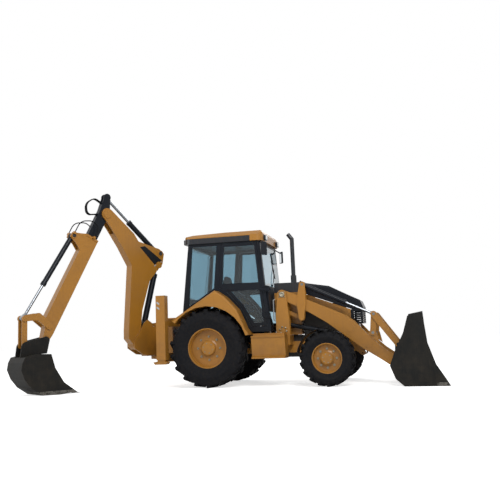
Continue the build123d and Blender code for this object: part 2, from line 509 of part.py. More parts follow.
arms = both(arm)
arms += disc(CROSS_TUBE, 70, -ARM_Y, ARM_Y)
parts["loader_arms"] = arms

crank = disc(crank_low, 35, PLATES[0][1], PLATES[1][0]) + disc(crank_low, 22, GUIDE_Y - 4, PLATES[0][0])
for low, high in PLATES:
    crank += bar(CRANK_PIVOT, crank_high, 82, 52, low, high) + bar(CRANK_PIVOT, crank_low, 82, 45, low, high)
crank -= disc(CRANK_PIVOT, 40 + FIT, 0, 900)
crank -= disc(crank_high, 25 + FIT, 0, 900)
parts["tilt_cranks"] = both(crank)

guide = bar(GUIDE_BASE, crank_low, 34, 34, GUIDE_Y, GUIDE_Y + GUIDE_T)
guide -= disc(GUIDE_BASE, 22 + FIT, 0, 900) + disc(crank_low, 22.5, 0, 900)
parts["guide_links"] = both(guide)

parts["tilt_pins"] = both(disc(crank_high, 25, PLATES[0][0] - 4, PLATES[1][1] + 4))
parts["lever_pins"] = both(disc(LEVER_PIVOT, 25, ARM_Y, ARM_OUT))
parts["bucket_pins"] = both(disc(BUCKET_PIVOT, 30, ARM_Y - 2, ARM_OUT + 2))

parts["tilt_barrels"] = both(ram_barrel(crank_high, lever_high, MID_Y, 830, 40, 22, 44, 70, 25))
parts["tilt_rods"] = both(ram_rod(crank_high, lever_high, MID_Y, 330, 22, 44, EAR_T))

lever = profile(bar_sketch(LEVER_PIVOT, lever_high, 48, 44), ARM_Y + 1, ARM_Y + 14)
lever += profile(bar_sketch(LEVER_PIVOT, lever_high, 48, 44), ARM_OUT - 14, ARM_OUT - 1)
lever -= disc(LEVER_PIVOT, 25 + FIT, 0, 900)
caps = disc(lever_high, 25, PLATES[0][0] - 4, ARM_Y + 14)
caps += disc(lever_high, 25, ARM_OUT - 14, PLATES[1][1] + 4)
lever -= disc(lever_high, 25 + FIT, 0, 900)
parts["tilt_levers"] = both(lever)
parts["link_pins"] = both(caps)

bucket_link = Part()
for low, high in PLATES:
    bucket_link += bar(lever_high, bucket_high, 52, 48, low, high)
bucket_link -= disc(lever_high, 25 + FIT, 0, 900)
bucket_link -= disc(bucket_high, 25.5, 0, 900)
parts["bucket_links"] = both(bucket_link)

parts["lift_barrels"] = both(ram_barrel(LIFT_BASE, LIFT_EYE, LIFT_CYL_Y, 800, 40, 26, 45, 70, 28))
parts["lift_rods"] = both(ram_rod(LIFT_BASE, LIFT_EYE, LIFT_CYL_Y, 130, 26, 45, 70))

bucket_outline = [
    (4040, 0), (3330, 0), (3200, 120), (3120, 330), (3216, 574), (3361, 850), (3467, 1150), (3690, 1190),
    (3702, 992), (3732, 682), (3844, 330),
]
shell_outline = [
    (4040, 0), (3400, 0), (3345, 100), (3330, 380), (3400, 800), (3480, 1140), (3690, 1180),
    (3700, 1000), (3732, 682), (3844, 330),
]
SHELL_T, CHEEK_T = 16, 22
bucket = plate(shell_outline, -BUCKET_HALF_W, BUCKET_HALF_W)
inside = [
    (4300, SHELL_T), (3408, SHELL_T), (3362, 105), (3347, 380), (3417, 800), (3494, 1126),
    (3680, 1164), (3900, 1164), (4300, 800),
]
bucket -= plate(inside, CHEEK_T - BUCKET_HALF_W, BUCKET_HALF_W - CHEEK_T)
bucket += both(plate(bucket_outline, BUCKET_HALF_W - CHEEK_T, BUCKET_HALF_W))
bucket += plate([(3840, 0), (4040, 0), (4034, 14), (3890, 34), (3840, 34)], -BUCKET_HALF_W, BUCKET_HALF_W)
rib = [
    (3335, 250), (3340, 400), (3405, 800), (3485, 1130), (3445, 1130), (3345, 810), (3285, 400),
    (3300, 250),
]
for y in (-900, -330, 320, 890):
    bucket += plate(rib, y, y + 14)
ear = [(3180, 300), (3230, 295), (3340, 260), (3410, 800), (3260, 720), (3210, 663), (3190, 400)]
ears = plate(ear, MID_Y - EAR_T / 2, MID_Y + EAR_T / 2)
ears += disc(BUCKET_PIVOT, 60, MID_Y - EAR_T / 2, MID_Y + EAR_T / 2)
ears += disc(bucket_high, 56, MID_Y - EAR_T / 2, MID_Y + EAR_T / 2)
ears -= plate(inside, 0, 900)
ears -= disc(BUCKET_PIVOT, 30 + FIT, 0, 900)
ears += disc(bucket_high, 25, PLATES[0][0] - 4, PLATES[1][1] + 4)
parts["loader_bucket"] = bucket + both(ears)

# ---- backhoe
stick_angle = atan2(HOE_PIVOT[1] - STICK_PIVOT[1], HOE_PIVOT[0] - STICK_PIVOT[0])
stick_length = hypot(HOE_PIVOT[0] - STICK_PIVOT[0], HOE_PIVOT[1] - STICK_PIVOT[1])


def on_stick(s, t):
    """Point s along the stick from its pivot and t off its line, on the cylinder's side."""
    return (
        STICK_PIVOT[0] + s * cos(stick_angle) - t * sin(stick_angle),
        STICK_PIVOT[1] + s * sin(stick_angle) + t * cos(stick_angle),
    )


def hose(points):
    """A hose of straight runs and arcs through points; each arc as large as its shorter run allows."""
    runs = [Vector(*b) - Vector(*a) for a, b in zip(points, points[1:])]
    radii = []
    for before, after in zip(runs, runs[1:]):
        half_turn = radians(before.get_angle(after)) / 2
        radii.append(0.45 * min(before.length, after.length) / tan(half_turn))
    path = FilletPolyline(*points, radius=radii)
    return sweep(Plane(origin=path @ 0, z_dir=path % 0) * Circle(HOSE_D / 2), path=path)


HOSE_D, HOSE_Y = 19, 126
HEAD_YS = (-30, 0, 30)
FERRULES = (((-150, 170), (-150, 207)), ((88, 152), (106.8, 178.8)))
HEAD_ROUTE = [(-150, 207), (-150, 350), (40, 455), (215, 330), (107, 179)]
SIDE_ROUTE = [(674.9, 430), (440, 430), (300, 215), (345, 45), (544.9, 45)]
HOE_RAM_BASE, HOE_RAM_EYE = on_stick(730, 400), on_stick(2490, 520)
ROCKER_PIVOT = on_stick(2400, 60)
HOE_LINK_EYE = on_stick(2900, 300)
hoe = {}

carriage = block(-1010, BEAM_REAR - SEAT, -300, 300, 450, 1270)
carriage += block(-1010, -830, -300, 300, 1240 + SEAT, 1270) + block(-1010, -830, -300, 300, 450, 480 - SEAT)
for low in (500, 1130):
    lug = Pos((SWING_X - 1005) / 2, 0, low + 30) * Box(-1005 - SWING_X, 220, 60)
    carriage += lug + Pos(SWING_X, 0, low + 30) * Cylinder(110, 60)
carriage -= Pos(SWING_X, 0, 850) * Cylinder(45 + FIT, 900)
parts["carriage"] = carriage

post = Pos(0, 0, 845) * Cylinder(95, 560) + Pos(0, 0, 845) * Cylinder(45, 700)
post += block(0, 290, -BOOM_HALF_W - GAP - 1, BOOM_HALF_W + GAP + 1, 566, 1124)
POST = [
    (40, 566), (40, 1124), (170, 1124), (200, 1200), (285, 1255), (360, 1200), (420, 1090), (590, 850),
    (590, 720), (400, 600),
]
post += both(plate(POST, BOOM_HALF_W + GAP, BOOM_HALF_W + GAP + 30))
post += disc(BOOM_FOOT, 38, -130, 130) + disc(BOOM_RAM_BASE, 32, -130, 130)
hoe["swing_post"] = post

tip_r, tip_z = STICK_PIVOT
boom_outline = [
    (600, 800), (690, 900), (690, 1060), (605, 2300), (tip_r - 310, tip_z - 600), (tip_r - 80, tip_z - 270),
    (tip_r + 85, tip_z - 60), (tip_r - 70, tip_z + 95),
    (545, 2920), (445, 2775), (-40, 2650), (-150, 2560), (-110, 2350), (-20, 2260), (200, 2013), (380, 1443),
    (420, 1100), (410, 800),
]
boom = plate(boom_outline, -BOOM_HALF_W, BOOM_HALF_W) + disc(BOOM_FOOT, 98, -BOOM_HALF_W, BOOM_HALF_W)
boom += disc(STICK_PIVOT, 112, -BOOM_HALF_W, BOOM_HALF_W)
boom -= disc(STICK_PIVOT, 390, -66, 66)
boom -= plate([(-400, 1960), (200, 1960), (150, 2440), (-400, 2440)], -66, 66)
boom -= plate([(-400, 2480), (300, 2480), (340, 2900), (-400, 2900)], -66, 66)
boom -= disc(BOOM_FOOT, 38 + FIT, -200, 200)
boom += disc(STICK_PIVOT, 36, -BOOM_HALF_W, BOOM_HALF_W) + disc(STICK_RAM_BASE, 30, -BOOM_HALF_W, BOOM_HALF_W)
for pivot, radius in ((STICK_PIVOT, 84), (STICK_RAM_BASE, 60), (BOOM_RAM_EYE, 66)):
    for sign in (-1, 1):
        boom += disc(pivot, radius, *sorted((sign * (BOOM_HALF_W - 1), sign * (BOOM_HALF_W + 14))))
hoe["boom"] = boom
hoe["boom_barrel"] = ram_barrel(BOOM_RAM_BASE, BOOM_RAM_EYE, 0, 1005, 58, 32, 60, 120, 32)
hoe["boom_rod"] = ram_rod(BOOM_RAM_BASE, BOOM_RAM_EYE, 0, 150, 32, 55, 120)
hoe["stick_barrel"] = ram_barrel(STICK_RAM_BASE, STICK_RAM_EYE, 0, 900, 52, 28, 52, 110, 30)
hoe["stick_rod"] = ram_rod(STICK_RAM_BASE, STICK_RAM_EYE, 0, 540, 28, 50, 60)

INNER_END, INNER_LOW, INNER_HIGH, INNER_HALF_W = 1670, -50, 155, 58
inner_outline = [
    on_stick(*p)
    for p in (
        (-60, INNER_LOW), (INNER_END, INNER_LOW), (INNER_END, INNER_HIGH), (0, INNER_HIGH),
        (-301, 200), (-340, 90),
    )
]
stick_inner = plate(inner_outline, -INNER_HALF_W, INNER_HALF_W)
stick_inner += disc(STICK_PIVOT, 90, -INNER_HALF_W, INNER_HALF_W)
stick_inner += disc(STICK_RAM_EYE, 72, -INNER_HALF_W, INNER_HALF_W)
stick_inner -= disc(STICK_PIVOT, 36 + FIT, -200, 200)
stick_inner -= disc(STICK_RAM_EYE, 150, -34, 34)
for seat_end, tip in FERRULES:
    for y in HEAD_YS:
        ends = [(on_stick(*p)[0], y, on_stick(*p)[1]) for p in (seat_end, tip)]
        stick_inner += rod(*ends, HOSE_D / 2 + 3)
hoe["stick_inner"] = stick_inner

outer = [
    (560, -75), (560, 180), (620, 300), (690, 455), (780, 455), (830, 300), (900, 180), (2330, 180),
    (2470, 110), (2690, 45), (2690, -50), (2500, -75),
]
stick_outer = plate([on_stick(*p) for p in outer], -STICK_HALF_W, STICK_HALF_W)
cavity = [
    on_stick(*p)
    for p in (
        (500, INNER_LOW - SLIDE), (2100, INNER_LOW - SLIDE), (2100, INNER_HIGH + SLIDE),
        (500, INNER_HIGH + SLIDE),
    )
]
stick_outer -= plate(cavity, -INNER_HALF_W - SLIDE, INNER_HALF_W + SLIDE)
stick_outer -= plate([on_stick(*p) for p in ((500, 185), (1000, 185), (1000, 700), (500, 700))], -56, 56)
stick_outer -= disc(HOE_PIVOT, 32 + FIT, -200, 200)
stick_outer += disc(HOE_RAM_BASE, 30, -STICK_HALF_W, STICK_HALF_W)
for sign in (-1, 1):
    stick_outer += disc(HOE_RAM_BASE, 56, *sorted((sign * (STICK_HALF_W - 1), sign * (STICK_HALF_W + 12))))
    wear = [on_stick(*p) for p in ((560, -75), (600, -75), (600, 180), (560, 180))]
    stick_outer += plate(wear, *sorted((sign * (STICK_HALF_W - 1), sign * (STICK_HALF_W + 10))))
ROCKER_Y = STICK_HALF_W + 6
stick_outer += disc(ROCKER_PIVOT, 32, -ROCKER_Y - 29, ROCKER_Y + 29)
for x, z in ((545, 45), (675, 430)):
    corners = ((0, -22), (40, -22), (40, 22), (0, 22))
    clamp = plate([on_stick(x + u, z + v) for u, v in corners], STICK_HALF_W - 1, HOSE_Y + 14)
    stick_outer += clamp + mirror(clamp, about=Plane.XZ)
hoe["stick_outer"] = stick_outer

# hydraulic hoses, as points (s, t) on the stick: three over its head, one each side of its ram's base
for node, route, places in (
    ("stick_head_hoses", HEAD_ROUTE, HEAD_YS),
    ("stick_side_hoses", SIDE_ROUTE, (-HOSE_Y, HOSE_Y)),
):
    bundle = Part()
    for y in places:
        bundle += hose([(on_stick(*p)[0], y, on_stick(*p)[1]) for p in route])
    hoe[node] = bundle

hoe["hoe_barrel"] = ram_barrel(HOE_RAM_BASE, HOE_RAM_EYE, 0, 1080, 46, 25, 50, 100, 30)
hoe["hoe_rod"] = ram_rod(HOE_RAM_BASE, HOE_RAM_EYE, 0, 480, 25, 45, 90)

banana = on_stick(2350, 320)
rocker = Part()
link = Part()
for sign in (-1, 1):
    low, high = sorted((sign * ROCKER_Y, sign * (ROCKER_Y + 25)))
    rocker += bar(ROCKER_PIVOT, banana, 60, 62, low, high) + bar(banana, HOE_RAM_EYE, 62, 52, low, high)
    low, high = sorted((sign * 60, sign * (ROCKER_Y - 3)))
    link += bar(HOE_RAM_EYE, HOE_LINK_EYE, 48, 48, low, high)
    rocker += disc(HOE_RAM_EYE, 30, *sorted((sign * 55, sign * (ROCKER_Y + 29))))
rocker -= disc(ROCKER_PIVOT, 32 + FIT, -200, 200)
link -= disc(HOE_RAM_EYE, 30 + FIT, -200, 200)
hoe["rocker"] = rocker
hoe["hoe_link"] = link

hoe_outline = [
    (1884, 30), (2207, 0), (2528, 10), (2719, 136), (2840, 284), (2905, 441), (2885, 560), (2840, 650),
    (2600, 700),
    (2369, 690), (2294, 455), (2131, 205),
]
hoe_inside = [
    (1800, 60), (2210, 27), (2520, 36), (2703, 153), (2820, 296), (2882, 441), (2863, 552),
    (2824, 634), (2598, 678), (2200, 660), (1700, 500),
]
hoe_bucket = plate(hoe_outline, -HOE_BUCKET_HALF_W, HOE_BUCKET_HALF_W)
hoe_bucket -= plate(hoe_inside, 22 - HOE_BUCKET_HALF_W, HOE_BUCKET_HALF_W - 22)
hoe_ear = [(2360, 700), (2310, 925), (2372, 990), (2757, 905), (2820, 841), (2845, 640), (2600, 690)]
ear = plate(hoe_ear, ROCKER_Y, ROCKER_Y + 25) + disc(HOE_PIVOT, 62, ROCKER_Y, ROCKER_Y + 25)
ear += disc(HOE_LINK_EYE, 55, ROCKER_Y, ROCKER_Y + 25)
hoe_bucket += both(ear - plate(hoe_inside, 0, 300)) + disc(HOE_PIVOT, 32, -ROCKER_Y - 29, ROCKER_Y + 29)
TEETH = [-260 + 130 * i for i in range(5)]
for y in TEETH:
    hoe_bucket += plate([(1800, 8), (1960, 44), (1960, 10)], y - 28, y + 28)
hoe["hoe_bucket"] = hoe_bucket

swing_out = Pos(SWING_X, 0, 0) * Rot(0, 0, 180 + SWING_REST)
for name, shape in hoe.items():
    parts[name] = swing_out * shape

# ---- the origin is on the ground under the middle of the whole machine
corners = [shape.bounding_box() for shape in parts.values()]
middle_x = (min(b.min.X for b in corners) + max(b.max.X for b in corners)) / 2
middle_y = (min(b.min.Y for b in corners) + max(b.max.Y for b in corners)) / 2
ground = min(b.min.Z for b in corners)
to_origin = Pos(-middle_x, -middle_y, -ground)
for name, shape in parts.items():
    export_step(to_origin * shape, "parts/" + name + ".step")
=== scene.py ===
import json
import math

import bmesh
import bpy
import numpy as np
from mathutils import Matrix, Vector


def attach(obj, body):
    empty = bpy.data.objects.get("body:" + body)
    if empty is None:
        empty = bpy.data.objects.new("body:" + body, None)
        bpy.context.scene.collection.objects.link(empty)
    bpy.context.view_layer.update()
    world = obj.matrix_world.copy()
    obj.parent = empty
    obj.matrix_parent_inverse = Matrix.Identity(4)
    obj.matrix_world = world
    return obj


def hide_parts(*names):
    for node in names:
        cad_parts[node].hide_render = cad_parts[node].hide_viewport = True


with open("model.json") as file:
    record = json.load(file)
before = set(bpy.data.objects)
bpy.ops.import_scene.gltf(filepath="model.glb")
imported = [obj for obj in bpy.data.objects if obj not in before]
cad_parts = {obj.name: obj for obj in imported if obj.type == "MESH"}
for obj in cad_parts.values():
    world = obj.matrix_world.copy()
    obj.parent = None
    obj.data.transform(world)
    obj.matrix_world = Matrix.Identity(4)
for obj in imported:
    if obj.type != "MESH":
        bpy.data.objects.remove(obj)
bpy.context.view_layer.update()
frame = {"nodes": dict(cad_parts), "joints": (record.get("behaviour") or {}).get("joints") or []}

# Backhoe loader. Helper points are given in millimetres from the middle of the rear
# axle's track on the ground: X forward, Y left, Z up.
JOINTS = {joint["name"]: joint for joint in frame["joints"]}
MM = 0.001
LEFT_HUB = Vector(JOINTS["roll_rear_left"]["pos_m"])
RIGHT_HUB = Vector(JOINTS["roll_rear_right"]["pos_m"])
FRONT_HUB = Vector(JOINTS["roll_front_left"]["pos_m"])
ZERO = Vector(((LEFT_HUB.x + RIGHT_HUB.x) / 2, (LEFT_HUB.y + RIGHT_HUB.y) / 2, 0.0))
SWING = Vector(JOINTS["swing"]["pos_m"])
SWING_REST = math.radians(180 + 55)


# ---- materials
def linear(code):
    """An sRGB hex colour as linear RGBA."""
    srgb = [int(code[i:i + 2], 16) / 255 for i in (1, 3, 5)]
    return tuple(c / 12.92 if c <= 0.04045 else ((c + 0.055) / 1.055) ** 2.4 for c in srgb) + (1.0,)


def add(tree, kind, settings=None, **links):
    """Add a node, set its attributes and unlinked inputs, and link the rest.

    A name in settings that starts with "in " is an input socket, any other an attribute.
    A link's key is the input's name (with _ for a space, or sN for socket N)."""
    node = tree.nodes.new(kind)
    for name, value in (settings or {}).items():
        if name.startswith("in "):
            key = name[3:]
            node.inputs[int(key) if key.isdigit() else key].default_value = value
        else:
            setattr(node, name, value)
    for name, source in links.items():
        key = int(name[1:]) if name[0] == "s" and name[1:].isdigit() else name.replace("_", " ")
        tree.links.new(source, node.inputs[key])
    return node


def ramp(tree, source, stops):
    """Colour ramp from (place, colour) stops."""
    node = add(tree, "ShaderNodeValToRGB", Fac=source)
    elements = node.color_ramp.elements
    while len(elements) < len(stops):
        elements.new(0.5)
    for element, (place, colour) in zip(elements, stops):
        element.position = place
        element.color = colour if not isinstance(colour, str) else linear(colour)
    return node.outputs["Color"]


BLACK_TO_WHITE = ((0, 0, 0, 1), (1, 1, 1, 1))


def between(tree, source, low, high):
    """0 below low rising to 1 above high, as a socket."""
    return ramp(tree, source, list(zip((low, high), BLACK_TO_WHITE)))


def region(tree, place, axis, low_mm=None, high_mm=None):
    """1 where a coordinate, in millimetres from ZERO, lies between low_mm and high_mm."""
    value = add(tree, "ShaderNodeSeparateXYZ", Vector=place).outputs[axis]
    start = ZERO["XYZ".index(axis)]
    inside = None
    for limit, operation in ((low_mm, "GREATER_THAN"), (high_mm, "LESS_THAN")):
        if limit is not None:
            test = maths(tree, operation, value, start + limit * MM)
            inside = test if inside is None else maths(tree, "MULTIPLY", inside, test)
    return inside


def noise(tree, place, size_mm, detail=3.0, rough=0.55, stretch=(1, 1, 1)):
    """Noise whose grain is about size_mm, on Object coordinates in metres."""
    mapped = add(tree, "ShaderNodeMapping", {"in Scale": stretch}, Vector=place).outputs["Vector"]
    settings = {"in Scale": 1000.0 / size_mm, "in Detail": detail, "in Roughness": rough}
    return add(tree, "ShaderNodeTexNoise", settings, Vector=mapped).outputs["Fac"]


def span(tree, source, low, high, source_low=0.0, source_high=1.0):
    """The source's range source_low..source_high stretched over low..high."""
    settings = {"in From Min": source_low, "in From Max": source_high, "in To Min": low, "in To Max": high}
    return add(tree, "ShaderNodeMapRange", settings, Value=source).outputs["Result"]


def mix(tree, factor, a, b, blend="MIX"):
    """Mix two colours; a and b are sockets or hex codes, factor a socket or a number."""
    node = add(tree, "ShaderNodeMix", {"data_type": "RGBA", "blend_type": blend})
    for socket, value in ((0, factor), (6, a), (7, b)):
        if isinstance(value, str):
            node.inputs[socket].default_value = linear(value)
        elif isinstance(value, (int, float)):
            node.inputs[socket].default_value = value
        else:
            tree.links.new(value, node.inputs[socket])
    return node.outputs[2]


def maths(tree, operation, a, b=0.0, clamp=False):
    """One Math node over two sockets or numbers."""
    node = add(tree, "ShaderNodeMath", {"operation": operation, "use_clamp": clamp})
    for socket, value in ((0, a), (1, b)):
        if isinstance(value, (int, float)):
            node.inputs[socket].default_value = value
        else:
            tree.links.new(value, node.inputs[socket])
    return node.outputs[0]


def finish(name, **sockets):
    """A new material: its tree, its shader and the Object coordinates."""
    material = bpy.data.materials.new(name)
    material.use_nodes = True
    tree = material.node_tree
    shader = tree.nodes["Principled BSDF"]
    for key, value in sockets.items():
        shader.inputs[key.replace("_", " ")].default_value = value
    place = add(tree, "ShaderNodeTexCoord").outputs["Object"]
    return material, tree, shader, place


def bump(tree, shader, height, depth_mm):
    """Relief depth_mm deep from a height socket."""
    node = add(tree, "ShaderNodeBump", {"in Distance": depth_mm * MM}, Height=height)
    tree.links.new(node.outputs["Normal"], shader.inputs["Normal"])


def set_socket(tree, shader, **links):
    """Link sockets to the shader's inputs of those names."""
    for key, source in links.items():
        tree.links.new(source, shader.inputs[key.replace("_", " ")])


def dust_by_height(tree, place, low_m, high_m):
    """1 near the ground fading to 0 at high_m, broken up by noise: road film thrown up by the wheels."""
    height = add(tree, "ShaderNodeSeparateXYZ", Vector=place).outputs["Z"]
    fade = span(tree, height, 1.0, 0.0, low_m, high_m)
    patches = span(tree, noise(tree, place, 160, 5.0, 0.65), 0.0, 1.0, 0.35, 0.7)
    return maths(tree, "MULTIPLY", fade, patches, True)


def painted(name, colour, faded, dusty, roughness, film, shine, second=None, where=None):
    """Sprayed machine enamel: even colour with slight fading, orange peel, rain streaks and road film.

    where(tree, place) masks the places that are sprayed with the second colour."""
    material, tree, shader, place = finish(name, IOR=1.5, Specular_IOR_Level=shine, Coat_Weight=shine * 0.3,
                                           Coat_Roughness=0.12)
    clouds = between(tree, noise(tree, place, 700, 3.0), 0.35, 0.7)
    shade = mix(tree, clouds, colour, faded)
    if where is not None:
        shade = mix(tree, where(tree, place), shade, second)
    streaks = between(tree, noise(tree, place, 26, 3.0, 0.6, (1, 1, 0.06)), 0.52, 0.78)
    shade = mix(tree, maths(tree, "MULTIPLY", streaks, 0.16), shade, dusty)
    chips = between(tree, noise(tree, place, 14, 6.0, 0.72), 0.68, 0.72)
    shade = mix(tree, maths(tree, "MULTIPLY", chips, 0.5), shade, "#4A3A28")
    road = maths(tree, "MULTIPLY", dust_by_height(tree, place, 0.25, 1.5), film)
    shade = mix(tree, road, shade, dusty)
    set_socket(tree, shader, Base_Color=shade)
    wear = maths(tree, "MULTIPLY_ADD", road, 0.35)
    wear.node.inputs[2].default_value = roughness
    set_socket(tree, shader, Roughness=wear)
    bump(tree, shader, noise(tree, place, 3.0, 2.0), 0.05)
    return material


def rubber(name, colour, dusty, film, hub=None, ridge_mm=11.0):
    """Carbon-black tyre rubber, matt, with dust in it and fine mould grain.

    Round a hub the sidewall has low ridges: the height is a wave of the distance from the axle's line."""
    material, tree, shader, place = finish(name, IOR=1.52, Specular_IOR_Level=0.12)
    shade = mix(tree, noise(tree, place, 90, 4.0), colour, "#141519")
    grime = between(tree, noise(tree, place, 55, 6.0, 0.7), 0.42, 0.75)
    shade = mix(tree, maths(tree, "MULTIPLY", grime, film), shade, dusty)
    set_socket(tree, shader, Base_Color=shade)
    set_socket(tree, shader, Roughness=span(tree, noise(tree, place, 40), 0.62, 0.85))
    height = noise(tree, place, 5.0, 4.0)
    if hub is not None:
        flatten = {"operation": "MULTIPLY", "in 1": (1, 0, 1)}
        flat = add(tree, "ShaderNodeVectorMath", flatten, s0=place).outputs[0]
        from_hub = {"operation": "DISTANCE", "in 1": (hub.x, 0, hub.z)}
        reach = add(tree, "ShaderNodeVectorMath", from_hub, s0=flat).outputs[1]
        wave = maths(tree, "SINE", maths(tree, "MULTIPLY", reach, 2 * math.pi / (ridge_mm * MM)))
        height = maths(tree, "ADD", height, maths(tree, "MULTIPLY", wave, 0.6))
    bump(tree, shader, height, 0.5)
    return material


def plain(name, colour, other, roughness, metallic=0.0, grain_mm=4.0, depth_mm=0.05, **sockets):
    """Moulded or machined surface: two close shades in soft clouds, with a fine grain in its bump."""
    material, tree, shader, place = finish(name, IOR=1.5, Metallic=metallic, **sockets)
    set_socket(tree, shader, Base_Color=mix(tree, noise(tree, place, 120, 4.0), colour, other))
    rough = span(tree, noise(tree, place, 60, 4.0), roughness * 0.85, min(1.0, roughness * 1.2))
    set_socket(tree, shader, Roughness=rough)
    bump(tree, shader, noise(tree, place, grain_mm, 3.0), depth_mm)
    return material


def tinted_glass(name, colour):
    """Tempered green-blue safety glass: clear, thin, slightly tinted in its thickness."""
    material, tree, shader, place = finish(name, IOR=1.5, Transmission_Weight=1.0)
    set_socket(tree, shader, Base_Color=mix(tree, noise(tree, place, 500, 2.0), colour, "#9DBAC6"))
    set_socket(tree, shader, Roughness=span(tree, noise(tree, place, 80), 0.0, 0.05))
    return material


def panel_black(tree, place):
    """The cowl's top and the exhaust are black; its sides and the flanks under the hood are yellow."""
    cowl_top = maths(tree, "MULTIPLY", region(tree, place, "X", None, 1589), region(tree, place, "Z", 1640))
    return maths(tree, "MAXIMUM", cowl_top, region(tree, place, "Z", 1822))


def roof_black(tree, place):
    """Black lamps on the roof's ends, and a black edge under its yellow skin, behind the front corners."""
    lamps = maths(tree, "MAXIMUM", region(tree, place, "X", 1015.5), region(tree, place, "X", None, -470.5))
    edge = maths(tree, "MULTIPLY", region(tree, place, "X", None, 790), region(tree, place, "Z", None, 2690))
    return maths(tree, "MAXIMUM", lamps, edge)


def grab_rail(tree, place):
    """The rails behind the loader towers are plain grey."""
    return maths(tree, "MULTIPLY", region(tree, place, "X", 1133, 1178), region(tree, place, "Z", 1110, 1560))


def rubbed_bare(*tests):
    """A mask of the places that earth keeps bright: inside all the tests (axis, low, high), in patches."""
    def mask(tree, place):
        inside = maths(tree, "MULTIPLY", between(tree, noise(tree, place, 60, 5.0, 0.7), 0.38, 0.55), 0.75)
        for test in tests:
            inside = maths(tree, "MULTIPLY", inside, region(tree, place, *test))
        return inside
    return mask


ENAMEL = ("#A46F22", "#9A6926", "#664A2A", 0.34, 0.5, 0.4)
SATIN = ("#12161D", "#171B22", "#3A342B", 0.32, 0.35, 0.14)
EARTH = ("#131414", "#1B1B1A", "#3D352B", 0.5, 0.35, 0.12)
BARE_STEEL = "#77736C"
YELLOW = painted("yellow_enamel", *ENAMEL)
BLACK = painted("black_enamel", *SATIN)
PANELS = painted("cowl_enamel", *ENAMEL, SATIN[0], panel_black)
FRAME = painted("frame_enamel", *ENAMEL, "#8C8F90", grab_rail)
LOADER_STEEL = painted("loader_bucket_steel", *EARTH, BARE_STEEL,
                       rubbed_bare(("X", 3830, None), ("Z", None, 60)))
HOE_STEEL = painted("hoe_bucket_steel", *EARTH, BARE_STEEL,
                    rubbed_bare(("Z", None, 70)))
REAR_TYRE = rubber("rear_tyre_rubber", "#0D0E12", "#332D26", 0.3, LEFT_HUB)
FRONT_TYRE = rubber("front_tyre_rubber", "#0D0E12", "#332D26", 0.3, FRONT_HUB)
HOSE = rubber("hose_rubber", "#0D0E11", "#2C2823", 0.25)
CHROME = plain("chromed_rod", "#8F9398", "#7D8186", 0.14, 1.0, 8.0, 0.01)
PIN = plain("ground_steel_pin", "#8C8C8A", "#6E6A64", 0.35, 1.0)
ZINC = plain("zinc_plated_bolt", "#9A9484", "#7E7562", 0.42, 1.0, 2.0, 0.03)
CAST = plain("black_cast_iron", "#1E1D1C", "#2E2A26", 0.62, 0.0, 6.0, 0.4)
PLASTIC = plain("moulded_black_plastic", "#14161A", "#1A1C20", 0.55, Specular_IOR_Level=0.15)
SEAT_CLOTH = plain("woven_seat_cloth", "#2A2C31", "#34363C", 0.9, 0.0, 3.0, 0.5)
ROOF = painted("moulded_roof_skin", *ENAMEL, SATIN[0], roof_black)
LENS = plain("clear_lamp_lens", "#E6E9EA", "#D5DADC", 0.1, 0.0, 9.0, 0.25, Coat_Weight=0.6)
MIRROR = plain("silvered_mirror", "#DDE2E4", "#D2D8DB", 0.04, 1.0, 40.0, 0.0)
PALE = plain("pale_grey_enamel", "#A9AEB0", "#9BA0A3", 0.4)
GLASS = tinted_glass("tinted_safety_glass", "#A6C3CE")

# ---- the CAD nodes' finishes, by name
FINISHES = {
    "tyre_rear": REAR_TYRE, "tyre_front": FRONT_TYRE, "rim_": YELLOW, "cab_frame": BLACK, "door_glass": GLASS,
    "door_": BLACK, "cab_glass": GLASS, "cab_roof": ROOF, "seat": SEAT_CLOTH, "controls": PLASTIC,
    "power_train": CAST, "rear_axle": CAST, "front_axle": CAST, "chassis_frame": FRAME, "knuckle_": BLACK,
    "hood": BLACK, "grille": BLACK, "body_panels": PANELS, "loader_bucket": LOADER_STEEL,
    "hoe_bucket": HOE_STEEL, "stick_inner": BLACK, "stick_head_hoses": HOSE, "stick_side_hoses": HOSE,
}


def finish_of(node):
    """The material of a node, by the end or the start of its name."""
    if node.endswith(("_rod", "_rods")):
        return CHROME
    if node.endswith(("_barrel", "_barrels")):
        return BLACK
    if node.endswith("_pins"):
        return PIN
    for start, material in FINISHES.items():
        if node.startswith(start):
            return material
    return YELLOW


for name, node in frame["nodes"].items():
    node.data.materials.clear()
    node.data.materials.append(finish_of(name))

# ---- pieces modelled as surfaces
OUT = Vector((math.cos(SWING_REST), math.sin(SWING_REST), 0))    # along the backhoe, away from the swing pin
ASIDE = Vector((-OUT.y, OUT.x, 0))


def at(x, y, z):
    """A place in the frame from millimetres forward, left and up of ZERO."""
    return ZERO + Vector((x, y, z)) * MM


def on_boom(reach, aside, z):
    """A place beside the backhoe: reach along OUT from the swing pin and aside of it, in millimetres."""
    return Vector((SWING.x, SWING.y, 0)) + (OUT * reach + ASIDE * aside + Vector((0, 0, z))) * MM


def sheet_of(points, closed=False):
    """Quads over a grid of points (rows, columns, xyz); closed joins the last column to the first.

    A shape is such a pair: its points as an array (n, 3), and its faces."""
    rows, columns = points.shape[:2]
    across = columns if closed else columns - 1
    i, j = np.meshgrid(np.arange(rows - 1), np.arange(across), indexing="ij")
    k = (j + 1) % columns
    faces = np.stack((i * columns + j, i * columns + k, (i + 1) * columns + k, (i + 1) * columns + j), -1)
    return points.reshape(-1, 3), faces.reshape(-1, 4).tolist()


